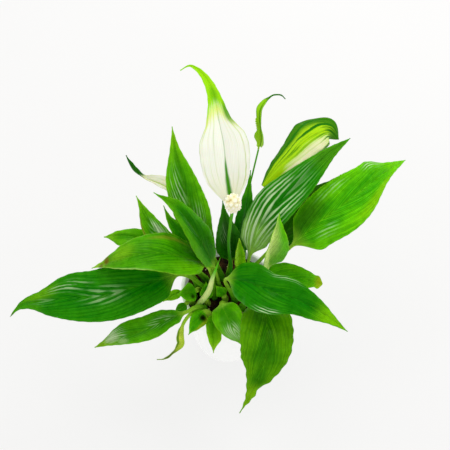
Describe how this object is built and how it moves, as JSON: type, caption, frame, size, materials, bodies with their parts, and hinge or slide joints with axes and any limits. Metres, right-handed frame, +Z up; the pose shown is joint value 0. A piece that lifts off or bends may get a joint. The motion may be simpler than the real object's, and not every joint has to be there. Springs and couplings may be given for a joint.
{
  "type": "potted peace lily",
  "caption": "Potted peace lily in a plain white glazed pot, with pointed green leaves on long stalks and white hooded flowers.",
  "frame": {"origin": "centre of the pot's flat underside, where it stands", "axes": "+Z up, the pictured front is -Y, +X to the right seen from the front"},
  "size_m": [0.3458, 0.2385, 0.2975],
  "materials": {
    "pot": "gloss",
    "soil": "matte",
    "leaf": "satin",
    "stem": "satin",
    "shoot": "satin",
    "spathe": "satin",
    "spadix": "matte"
  },
  "bodies": {
    "root": {"pot": "pot", "soil": "soil", "leaf_left_long": "leaf", "leaf_left_broad": "leaf", "leaf_left_upper": "leaf", "leaf_left_behind": "leaf", "leaf_left_small": "leaf", "leaf_left_low": "leaf", "leaf_back_tall": "leaf", "leaf_back_dark": "leaf", "leaf_back_slim": "leaf", "leaf_right_striped": "leaf", "leaf_right_bright": "leaf", "leaf_right_shaded": "leaf", "leaf_right_folded": "leaf", "leaf_right_short": "leaf", "leaf_right_front": "leaf", "leaf_front_broad": "leaf", "leaf_front_left": "leaf", "leaf_front_small_right": "leaf", "leaf_front_small_left": "leaf", "leaf_crown_a": "leaf", "leaf_crown_b": "leaf", "leaf_crown_c": "leaf", "leaf_crown_d": "leaf", "leaf_crown_e": "leaf", "leaf_crown_f": "leaf", "leaf_young_cup": "leaf", "leaf_withered": "shoot", "shoot_rolled": "shoot", "flower_main_stem": "stem", "flower_main_spathe": "spathe", "flower_main_spadix": "spadix", "flower_green_stem": "stem", "flower_green_spathe": "leaf", "flower_green_spadix": "spadix", "flower_slim_stem": "stem", "flower_slim_spathe": "spathe", "flower_slim_spadix": "spadix", "flower_striped_stem": "stem", "flower_striped_spathe": "spathe", "flower_striped_spadix": "spadix"}
  },
  "joints": []
}
